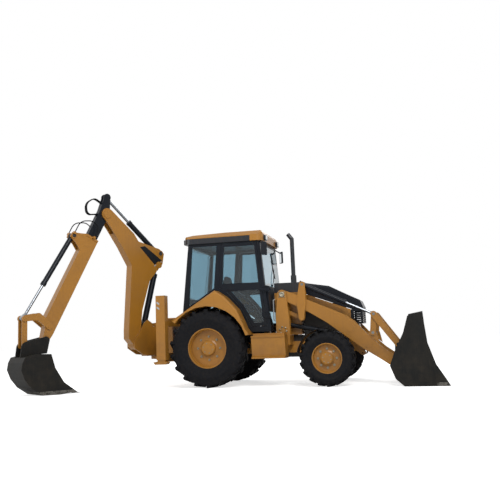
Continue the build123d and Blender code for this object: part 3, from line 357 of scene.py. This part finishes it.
def turned(profile, sides=24):
    """A revolve about +Z: (r cos a, r sin a, h) for each profile point (r, h) and a = 2 pi j / sides."""
    radius, height = np.array(profile, float).T
    angle = np.arange(sides) * 2 * math.pi / sides
    points = np.stack((np.outer(radius, np.cos(angle)), np.outer(radius, np.sin(angle)),
                       np.repeat(height[:, None], sides, 1)), -1)
    return sheet_of(points, True)


def rounded_box(length, width, height, corner, squareness=4.0, rings=14, sides=28):
    """A superellipsoid |x/a|^n + |y/b|^n + |z/c|^n = 1 with n = squareness, its poles up and down.

    corner is the part of its half height that stays round, in millimetres."""
    lat = np.linspace(-math.pi / 2, math.pi / 2, rings)
    lon = np.arange(sides) * 2 * math.pi / sides
    power = 2.0 / squareness

    def bend(value):
        return np.sign(value) * np.abs(value) ** power

    level, turn = np.meshgrid(lat, lon, indexing="ij")
    points = np.stack((bend(np.cos(level)) * bend(np.cos(turn)) * length / 2,
                       bend(np.cos(level)) * bend(np.sin(turn)) * width / 2,
                       bend(np.sin(level)) * (height / 2 - corner) + np.sin(level) * corner), -1)
    return sheet_of(points, True)


def swept(path, radius, sides=12):
    """A round tube: a circle of that radius carried along the path, square to it, with closed ends."""
    path = np.array(path, float)
    ahead = np.gradient(path, axis=0)
    ahead /= np.linalg.norm(ahead, axis=1)[:, None]
    aside = np.cross(ahead, (0.31, 0.17, 0.93))
    aside /= np.linalg.norm(aside, axis=1)[:, None]
    above = np.cross(ahead, aside)
    angle = np.arange(sides) * 2 * math.pi / sides
    ring = aside[:, None] * np.cos(angle)[None, :, None] + above[:, None] * np.sin(angle)[None, :, None]
    tube = path[:, None] + radius * ring
    ends = np.repeat(path[[0, -1]][:, None], sides, 1)
    return sheet_of(np.concatenate((ends[:1], tube, ends[1:])), True)


def placed(shape, origin, normal=(0, 0, 1), spin=0.0):
    """The shape, in millimetres, with its +Z turned to normal, spun about it, and set at origin."""
    points, faces = shape
    turn = Vector((0, 0, 1)).rotation_difference(Vector(normal)).to_matrix() @ Matrix.Rotation(spin, 3, "Z")
    return points @ np.array(turn).T * MM + np.array(origin), faces


def piece(name, shapes, material, body, smooth=True):
    """One object from several shapes, its faces turned outward, riding on a body."""
    points, faces, start = [], [], 0
    for shape_points, shape_faces in shapes:
        points.append(shape_points)
        faces += [[start + corner for corner in face] for face in shape_faces]
        start += len(shape_points)
    data = bpy.data.meshes.new(name)
    data.from_pydata(np.concatenate(points).tolist(), [], faces)
    sculpt = bmesh.new()
    sculpt.from_mesh(data)
    bmesh.ops.remove_doubles(sculpt, verts=sculpt.verts, dist=1e-6)
    bmesh.ops.recalc_face_normals(sculpt, faces=sculpt.faces)
    sculpt.to_mesh(data)
    sculpt.free()
    data.polygons.foreach_set("use_smooth", [smooth] * len(data.polygons))
    data.materials.append(material)
    obj = bpy.data.objects.new(name, data)
    bpy.context.scene.collection.objects.link(obj)
    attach(obj, body)
    return obj


def hex_bolt(across, height):
    """A hexagon head with a chamfered crown on a round washer."""
    r = across / 2 / math.cos(math.pi / 6)
    head = turned([(0, 0.5), (r, 0.5), (r, height * 0.8), (r * 0.84, height), (0, height)], 6)
    washer = turned([(0, 0), (r * 1.25, 0), (r * 1.25, 1.2), (0, 1.2)], 20)
    return [head, washer]


def bolt_ring(origin, normal, ring_radius, count, across, height):
    """Bolts evenly round a circle: bolt k stands at angle 2 pi k / count."""
    normal = Vector(normal)
    side = normal.orthogonal().normalized()
    other = normal.cross(side)
    shapes = []
    for k in range(count):
        angle = 2 * math.pi * k / count
        spot = Vector(origin) + (side * math.cos(angle) + other * math.sin(angle)) * ring_radius * MM
        shapes += [placed(part, spot, normal, spin=angle) for part in hex_bolt(across, height)]
    return shapes


DISH_OUT = 0.12                # the dish's face beyond the wheel's middle, as a share of the tyre's width
HUB_OUT = 77.5                 # the hub's end beyond the dish

# wheel nuts on the dish and bolts on the hub's end: (end, nuts' circle, tyre width, hub radius)
for end, ring_r, width, hub_r in (("rear", 205, 450, 130), ("front", 158, 310, 108)):
    for side, sign in (("left", 1), ("right", -1)):
        wheel = end + "_" + side
        hub = Vector(JOINTS["roll_" + wheel]["pos_m"])
        dish = hub + Vector((0, sign * width * DISH_OUT * MM, 0))
        normal = (0, sign, 0)
        nuts = bolt_ring(dish, normal, ring_r, 8, 30, 24)
        nuts += bolt_ring(dish + Vector((0, sign * HUB_OUT * MM, 0)), normal, hub_r * 0.66, 6, 15, 9)
        piece("wheel_nuts_" + wheel, nuts, ZINC, "wheel_" + wheel, smooth=False)


# ---- lenses of the lamps on the roof's ends
def lens_shape(width, height, crown):
    """A rounded oblong lens: crown (1 - u^4)(1 - v^4) high over u, v in -1..1, with its corners drawn in."""
    u, v = np.meshgrid(np.linspace(-1, 1, 25), np.linspace(-1, 1, 17), indexing="ij")
    pull = 1 - 0.045 * (u ** 4) * (v ** 4)
    x, y = u * pull * width / 2, v * pull * height / 2
    z = crown * (1 - u ** 4) * (1 - v ** 4) + 0.8 * np.sin(u * 24) * (1 - u ** 2) * (1 - v ** 2)
    return sheet_of(np.stack((y, x, z), -1))


def back_of(shape, depth):
    """The same outline, flat and depth behind: closes a lens into a solid."""
    points, faces = shape
    flat = points.copy()
    flat[:, 2] = -depth
    return flat, [face[::-1] for face in faces]


for name, forward, outward in (("front", 1055, 1), ("rear", -510, -1)):
    for side, aside in (("left", 560), ("right", -560)):
        lens = lens_shape(146, 74, 6)
        middle = at(forward + outward * 0.6, aside, 2652)
        halves = [placed(half, middle, (outward, 0, 0)) for half in (lens, back_of(lens, 0.5))]
        piece("lamp_lens_" + name + "_" + side, halves, LENS, "machine")

# ---- mirrors: a bright plate on the rear face of each housing
for side, sign in (("left", 1), ("right", -1)):
    turn = math.radians(-sign * 60)
    across = Vector((math.cos(turn), math.sin(turn), 0))
    rear = Vector((across.y, -across.x, 0)) * sign
    rear = rear if rear.x < 0 else -rear
    middle = at(1055, sign * 845, 2420) + rear * 17.4 * MM
    u, v = np.meshgrid(np.linspace(-1, 1, 13), np.linspace(-1, 1, 13), indexing="ij")
    pull = 1 - 0.05 * u ** 4 * v ** 4
    plate = (np.array(middle) + (u * pull * 54 * MM)[..., None] * np.array(across)
             + (v * pull * 104 * MM)[..., None] * np.array((0, 0, 1))
             + (1.5 * MM * (1 - u ** 2) * (1 - v ** 2))[..., None] * np.array(rear))
    piece("mirror_" + side, [sheet_of(plate)], MIRROR, "machine")


# ---- the bare dark panel on the boom and the pale strip under it
def facet_strip(corners, outward, thick):
    """A thin plate over four corners: its face thick beyond them and its edge down to them."""
    base = np.array([list(corner) for corner in corners])
    lift = np.array(outward) * thick * MM
    middle = base.mean(0)
    face = middle + (base - middle) * 0.985 + lift
    rings = np.stack((base, face, np.repeat((middle + lift)[None], 4, 0)))
    return sheet_of(rings, True)


for side in (1, -1):
    panel = [on_boom(r, side * 95.2, z) for r, z in ((416, 2666), (300, 2690), (-98, 2424), (80, 2332))]
    strip = [on_boom(r, side * 95.2, z) for r, z in ((84, 2322), (-98, 2412), (-86, 2384), (90, 2298))]
    label = "left" if side > 0 else "right"
    plates = (("boom_panel_", panel, 1.2, PLASTIC), ("boom_strip_", strip, 1.0, PALE))
    for name, corners, thick, material in plates:
        plate = facet_strip(corners, ASIDE * side, thick)
        piece(name + label, [plate], material, "boom", smooth=False)

# cover plates with three bolts over the backhoe's pins: (body, reach, height, how far aside, radius)
HOE_PINS = (("boom", -60, 2560, 109, 42), ("stick_outer", 1826, 2803.3, 92, 38))
for number, (body, reach, z, aside, radius) in enumerate(HOE_PINS):
    caps = []
    for side in (1, -1):
        spot = on_boom(reach, side * (aside + 0.2), z)
        outward = tuple(ASIDE * side)
        cap = turned([(0, 0), (radius, 0), (radius, 5), (radius - 3, 8),
                      (radius * 0.4, 8), (radius * 0.36, 6), (0, 6)], 40)
        caps.append(placed(cap, spot, outward))
        caps += bolt_ring(spot + ASIDE * side * 7.5 * MM, outward, radius * 0.68, 3, 13, 8)
    piece("pin_cover_" + str(number + 1), caps, CAST, body)

# two slanted pale stripes on each stabiliser's leg
LEG_REAR, LEG_OUT = -900, 1178    # the leg's rear edge and outer face
for sign in (-1, 1):
    face = sign * (LEG_OUT + 0.2)
    stripes = []
    for z in (1511, 1424):
        x = LEG_REAR + 18
        corners = [at(x, face, z), at(x, face, z + 34), at(x + 52, face, z + 4), at(x + 52, face, z - 30)]
        stripes.append(facet_strip(corners, (0, sign, 0), 0.8))
    label = "left" if sign > 0 else "right"
    piece("leg_stripes_" + label, stripes, PALE, "machine", smooth=False)

# ---- small pieces on the hood, cab and doors
latches = []
for sign in (-1, 1):
    for x, z in ((1655, 1727), (2124, 1545)):
        turns = np.linspace(0, math.pi, 14)
        bow = [at(x + 9 * math.cos(t) + 7 * math.sin(t), sign * 380.4, z + 26 * math.cos(t)) for t in turns]
        latches.append(swept(bow, 2.5 * MM))
piece("hood_latches", latches, PALE, "hood")
for side, sign in (("left", 1), ("right", -1)):
    shares = np.linspace(0, 1, 18)
    bow = [at(330 + 70 * t, sign * (746 + 26 * (1 - abs(2 * t - 1) ** 3)), 1722 - 20 * t) for t in shares]
    boss = turned([(0, 0), (16, 0), (16, 5), (12, 8), (0, 8)], 24)
    ends = [placed(boss, at(x, sign * 745, z), (0, sign, 0)) for x, z in ((330, 1722), (400, 1702))]
    piece("door_handle_" + side, [swept(bow, 7 * MM), *ends], PLASTIC, "door_" + side)

# wiper on the windscreen: an arm from its spindle and a blade that follows the glass
GLASS_LEAN = (958 - 1018) / (2525 - 1772)


def on_screen(y, z, out):
    """A place out from the windscreen's face, which leans back by GLASS_LEAN."""
    return at(1026 + (z - 1772) * GLASS_LEAN + out, y, z)


shares = np.linspace(0, 1, 12)
arm = [on_screen(-80 + 300 * t, 1800 + 330 * t, 14 + 10 * math.sin(math.pi * t)) for t in shares]
blade = [on_screen(140 + 160 * t, 2290 - 330 * t, 5) for t in shares]
knob = turned([(0, -4), (20, -4), (20, 14), (12, 22), (0, 22)], 24)
spindle = placed(knob, on_screen(-80, 1800, 0), (1, 0, 0.08))
piece("wiper", [swept(arm, 6 * MM), swept(blade, 5 * MM), spindle], PLASTIC, "machine")

# ---- bolt rows: cutting edge of the loader bucket, and the loader towers' pivots
edge_bolts = []
for k in range(12):
    spot = at(3925, -1100 + 200 * k, 29.2)
    edge_bolts += [placed(part, spot, (0.1, 0, 1)) for part in hex_bolt(30, 14)]
piece("cutting_edge_bolts", edge_bolts, ZINC, "loader_bucket", smooth=False)

TOWER_X, TOWER_FACE = 1303, 656    # the loader arms' pivot and the towers' outer faces
pivot_caps = []
for sign in (-1, 1):
    cap = turned([(0, 0), (52, 0), (52, 8), (46, 12), (14, 12), (12, 9), (0, 9)], 40)
    pivot_caps.append(placed(cap, at(TOWER_X, sign * TOWER_FACE, 1594), (0, sign, 0)))
    face = sign * (TOWER_FACE + 0.2)
    pivot_caps += bolt_ring(at(TOWER_X, face, 1594), (0, sign, 0), 68, 4, 15, 9)
    pivot_caps += bolt_ring(at(TOWER_X, face, 960), (0, sign, 0), 60, 6, 24, 14)
piece("tower_pivot_caps", pivot_caps, ZINC, "machine")

# ribbed rubber mats on the steps: height 919.3 + 1.2 (1 + sin(44 pi u)) sin(pi v)^0.2 over u, v in 0..1
mats = []
for sign in (-1, 1):
    u, v = np.meshgrid(np.linspace(0, 1, 90), np.linspace(0, 1, 8), indexing="ij")
    ribs = 919.3 + 2.4 * (0.5 + 0.5 * np.sin(u * 2 * math.pi * 22)) * np.sin(math.pi * v) ** 0.2
    x, y = 815 + 535 * u, sign * (672 + 206 * v)
    mats.append(sheet_of(np.stack((x, y, ribs), -1)))
shapes = [(points * MM + np.array(ZERO), faces) for points, faces in mats]
piece("step_mats", shapes, HOSE, "machine")


# ---- the seat: two stuffed cushions on a plain frame
def crowned_pad(length, width, thick, pinch):
    """A stuffed pad: a superellipsoid, its sides drawn in by pinch between corners, its faces crowned."""
    points, faces = rounded_box(length, width, thick, thick * 0.1, 5.0, 26, 64)
    u, v = points[:, 0] / (length / 2), points[:, 1] / (width / 2)
    points[:, 0] *= 1 - pinch * (1 - v ** 2)
    points[:, 1] *= 1 - pinch * (1 - u ** 2)
    points[:, 2] *= 0.82 + 0.18 * (1 - u ** 2) * (1 - v ** 2)
    return points, faces


def stuffed(obj, cap_mm):
    """Let cloth pressure swell a pad: remesh, settle for 20 frames, cap how far each point moves."""
    bpy.context.view_layer.objects.active = obj
    obj.select_set(True)
    remesh = obj.modifiers.new("even", "REMESH")
    remesh.mode, remesh.voxel_size = "VOXEL", 0.006
    bpy.ops.object.modifier_apply(modifier=remesh.name)
    before = np.empty(len(obj.data.vertices) * 3)
    obj.data.vertices.foreach_get("co", before)
    cloth = obj.modifiers.new("stuffing", "CLOTH")
    cloth.settings.use_pressure = True
    cloth.settings.uniform_pressure_force = 4.0
    cloth.settings.effector_weights.gravity = 0.0
    for step in range(1, 21):
        bpy.context.scene.frame_set(step)
    settled = obj.evaluated_get(bpy.context.evaluated_depsgraph_get())
    after = np.empty_like(before)
    settled.data.vertices.foreach_get("co", after)
    obj.modifiers.remove(cloth)
    bpy.context.scene.frame_set(1)
    moved = (after - before).reshape(-1, 3)
    length = np.linalg.norm(moved, axis=1, keepdims=True)
    moved *= np.minimum(1.0, cap_mm * MM / np.maximum(length, 1e-9))
    obj.data.vertices.foreach_set("co", (before.reshape(-1, 3) + moved).ravel())
    obj.data.update()
    finer = obj.modifiers.new("finer", "SUBSURF")
    finer.levels = 1
    bpy.ops.object.modifier_apply(modifier=finer.name)
    obj.data.polygons.foreach_set("use_smooth", [True] * len(obj.data.polygons))
    obj.select_set(False)


LEAN = 0.1206                  # the back's lean: its top goes back by this share of its length
seat_shape = placed(crowned_pad(452, 462, 112, 0.03), at(385, 0, 1412))
seat_pad = piece("seat_cushion", [seat_shape], SEAT_CLOTH, "machine")
flat, back_faces = crowned_pad(600, 436, 84, 0.03)
rise = flat[:, 0] * (1 - LEAN ** 2) ** 0.5 + flat[:, 2] * LEAN
leaning = np.stack((flat[:, 2] - flat[:, 0] * LEAN, flat[:, 1], rise), -1)
back_shape = placed((leaning, back_faces), at(172, 0, 1735))
back_pad = piece("seat_back_cushion", [back_shape], SEAT_CLOTH, "machine")
for pad in (seat_pad, back_pad):
    stuffed(pad, 8)
    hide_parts("seat")


def post(x_low, x_high, y_low, y_high, z_low, z_high):
    """An upright or a rail with soft edges between two corners in millimetres."""
    box_shape = rounded_box(x_high - x_low, y_high - y_low, z_high - z_low, 8, 8.0, 12, 32)
    return placed(box_shape, at((x_low + x_high) / 2, (y_low + y_high) / 2, (z_low + z_high) / 2))


seat_frame = [post(250, 520, -150, 150, 992, 1352)]
seat_frame += [post(160, 600, -225, 225, 1330, 1362), post(90, 150, -200, 200, 1370, 1960)]
for y in (-270, 270):
    seat_frame += [post(182, 518, y - 28, y + 28, 1612, 1648), post(202, 238, y - 25, y + 25, 1442, 1620)]
frame_piece = piece("seat_frame", seat_frame, PLASTIC, "machine")
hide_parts("seat")

# ---- floor, light and camera
floor_data = bpy.data.meshes.new("studio_floor")
floor_data.from_pydata([(-60, -60, 0), (60, -60, 0), (60, 60, 0), (-60, 60, 0)], [], [(0, 1, 2, 3)])
floor = bpy.data.objects.new("studio_floor", floor_data)
bpy.context.scene.collection.objects.link(floor)


def white_when_seen(tree, surface, white):
    """Mix the lit surface with plain white for rays that only look at it."""
    path = add(tree, "ShaderNodeLightPath").outputs
    seen = maths(tree, "MAXIMUM", path["Is Camera Ray"], path["Is Glossy Ray"])
    seen = maths(tree, "MAXIMUM", seen, path["Is Transmission Ray"])
    return add(tree, "ShaderNodeMixShader", s0=seen, s1=surface, s2=white)


floor_finish = bpy.data.materials.new("pale_floor")
floor_finish.use_nodes = True
tree = floor_finish.node_tree
shader = tree.nodes["Principled BSDF"]
shader.inputs["Base Color"].default_value = linear("#FAFAF8")
shader.inputs["Roughness"].default_value = 0.9
shader.inputs["Emission Color"].default_value = (1, 1, 1, 1)
seen = add(tree, "ShaderNodeLightPath").outputs["Is Camera Ray"]
tree.links.new(maths(tree, "MULTIPLY", seen, 0.62), shader.inputs["Emission Strength"])
floor_data.materials.append(floor_finish)

world = bpy.data.worlds.new("studio")
bpy.context.scene.world = world
world.use_nodes = True
tree = world.node_tree
tree.nodes.clear()
soft = add(tree, "ShaderNodeBackground", {"in Color": linear("#EEF2F6"), "in Strength": 0.42}).outputs[0]
white = add(tree, "ShaderNodeBackground", {"in Color": (1, 1, 1, 1), "in Strength": 1.0}).outputs[0]
end = add(tree, "ShaderNodeOutputWorld")
tree.links.new(white_when_seen(tree, soft, white).outputs[0], end.inputs["Surface"])


def lamp(name, place, target, size, power):
    """A square white area lamp of that size in metres, turned to the target."""
    data = bpy.data.lights.new(name, "AREA")
    data.shape, data.size, data.energy = "SQUARE", size, power
    obj = bpy.data.objects.new(name, data)
    obj.location = place
    obj.rotation_euler = (Vector(target) - Vector(place)).to_track_quat("-Z", "Y").to_euler()
    bpy.context.scene.collection.objects.link(obj)


lamp("key", (5.0, -9.0, 9.0), (0, 0, 1.2), 5.0, 950)
lamp("fill", (-9.0, -7.0, 5.0), (0, 0, 1.5), 6.0, 300)
lamp("rim", (-2.0, 10.0, 8.0), (0, 0, 1.5), 6.0, 420)

# camera: placed and turned as (metres from ZERO; yaw, pitch up and roll in radians)
EYE = ZERO + Vector((3.5297, -12.8185, 0.9048))
YAW, PITCH, ROLL = 0.26435, 0.15147, -0.03371
FOCAL, CENTRE, SIDE = 687.08, (221.84, 230.61), 500.0    # on a square picture SIDE across
forward = Vector((-math.sin(YAW) * math.cos(PITCH), math.cos(YAW) * math.cos(PITCH), math.sin(PITCH)))
right = Vector((math.cos(YAW), math.sin(YAW), 0.0))
up = right.cross(forward)
right, up = (right * math.cos(ROLL) + up * math.sin(ROLL), up * math.cos(ROLL) - right * math.sin(ROLL))
camera_data = bpy.data.cameras.new("camera")
camera_data.sensor_width = 36.0
camera_data.lens = FOCAL * camera_data.sensor_width / SIDE
camera_data.shift_x = (SIDE / 2 - CENTRE[0]) / SIDE
camera_data.shift_y = (CENTRE[1] - SIDE / 2) / SIDE
camera_data.clip_end = 200.0
camera = bpy.data.objects.new("camera", camera_data)
camera.matrix_world = Matrix((right, up, -forward)).transposed().to_4x4()
camera.matrix_world.translation = EYE
bpy.context.scene.collection.objects.link(camera)
bpy.context.scene.camera = camera
bpy.context.scene.view_settings.view_transform = "Standard"
